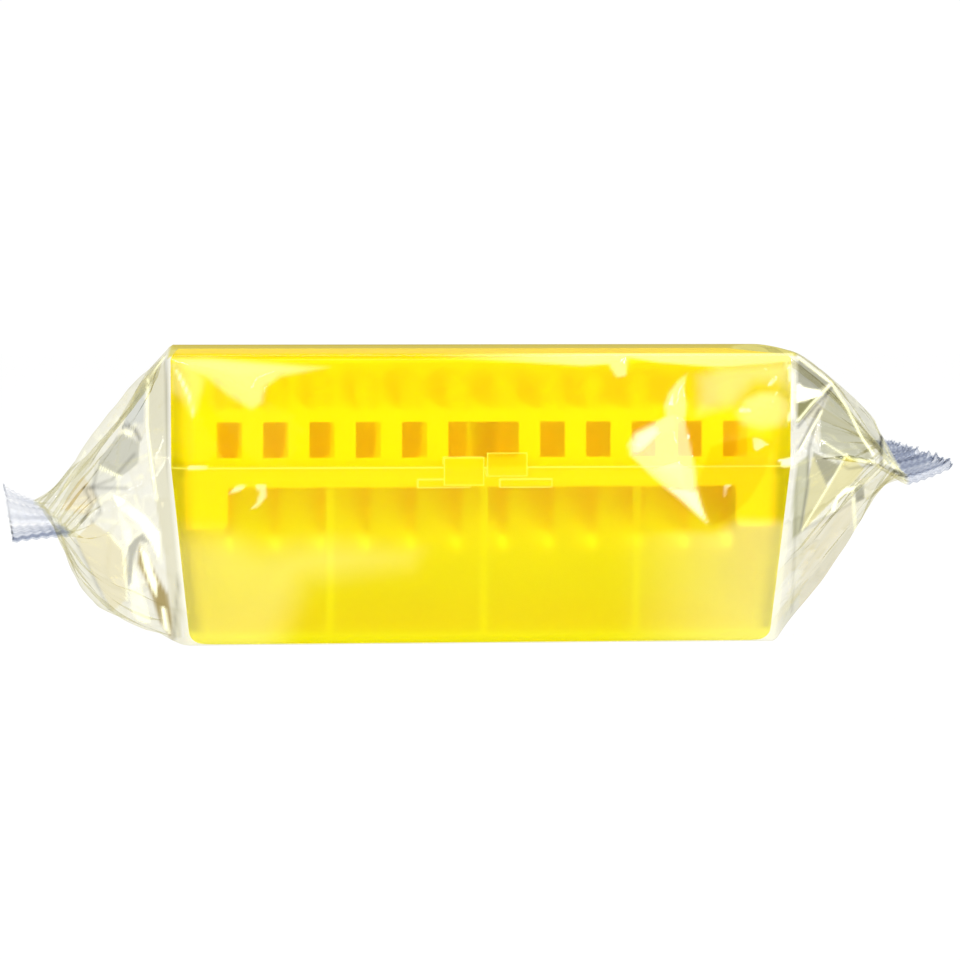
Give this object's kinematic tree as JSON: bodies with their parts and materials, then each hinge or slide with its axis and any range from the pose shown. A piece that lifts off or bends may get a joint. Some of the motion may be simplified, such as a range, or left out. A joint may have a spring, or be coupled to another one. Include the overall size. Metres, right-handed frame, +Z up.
{
  "type": "pipette tip box",
  "caption": "Closed translucent yellow box of pipette filter tips on a yellow rack, sealed in a crinkled clear flow-wrap film with a crimped fin at each end.",
  "frame": {"origin": "middle of the underside of the wrapped box, where it rests", "axes": "+X along the box from the left film fin to the right one as seen from the latch side, +Y from the front (latch side) to the back (hinge side), +Z up"},
  "size_m": [0.1976, 0.1, 0.0584],
  "materials": {
    "case": "frosted translucent polypropylene, tinted yellow",
    "rack": "opaque bright yellow polypropylene",
    "tips": "natural polypropylene",
    "filters": "white porous polyethylene",
    "film": "clear glossy packing film"
  },
  "bodies": {
    "root": {"base": "case", "lid": "case", "tip_rack": "rack", "tips_column_01": "tips", "tips_column_02": "tips", "tips_column_03": "tips", "tips_column_04": "tips", "tips_column_05": "tips", "tips_column_06": "tips", "tips_column_07": "tips", "tips_column_08": "tips", "tips_column_09": "tips", "tips_column_10": "tips", "tips_column_11": "tips", "tips_column_12": "tips", "filters_column_01": "filters", "filters_column_02": "filters", "filters_column_03": "filters", "filters_column_04": "filters", "filters_column_05": "filters", "filters_column_06": "filters", "filters_column_07": "filters", "filters_column_08": "filters", "filters_column_09": "filters", "filters_column_10": "filters", "filters_column_11": "filters", "filters_column_12": "filters", "film_wrap": "film"}
  },
  "joints": []
}
